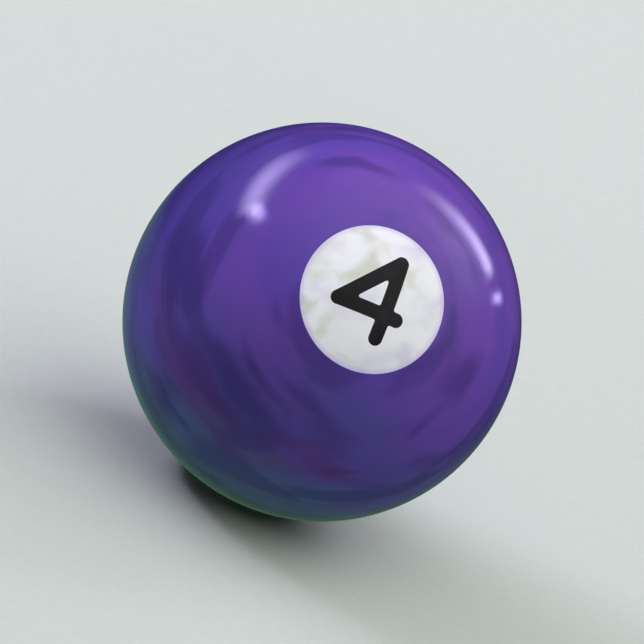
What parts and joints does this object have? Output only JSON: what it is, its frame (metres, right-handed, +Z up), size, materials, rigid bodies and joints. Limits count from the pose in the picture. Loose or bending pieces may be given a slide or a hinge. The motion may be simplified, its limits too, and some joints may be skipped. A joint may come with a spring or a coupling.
{
  "type": "numbered pool ball",
  "caption": "Glossy purple pool ball with a white number disc and black digit inlaid flush on opposite sides.",
  "frame": {"origin": "centre of the ball", "axes": "+Z up. The number axis lies in the YZ plane: the front number faces (0, -0.866, 0.5), upright towards +Z, and the back number faces the opposite way, upside down against the front one. +X is to the right as the front number is read."},
  "size_m": [0.0572, 0.0572, 0.0572],
  "materials": {
    "purple_resin": "cast phenolic resin, ground and polished to a high gloss",
    "white_resin": "cast white phenolic resin, polished flush with the ball",
    "black_resin": "cast black resin inlay, polished flush with the disc"
  },
  "bodies": {
    "root": {"ball_body": "purple_resin", "number_disc_front": "white_resin", "number_disc_back": "white_resin", "numeral_front": "black_resin", "numeral_back": "black_resin"}
  },
  "joints": []
}
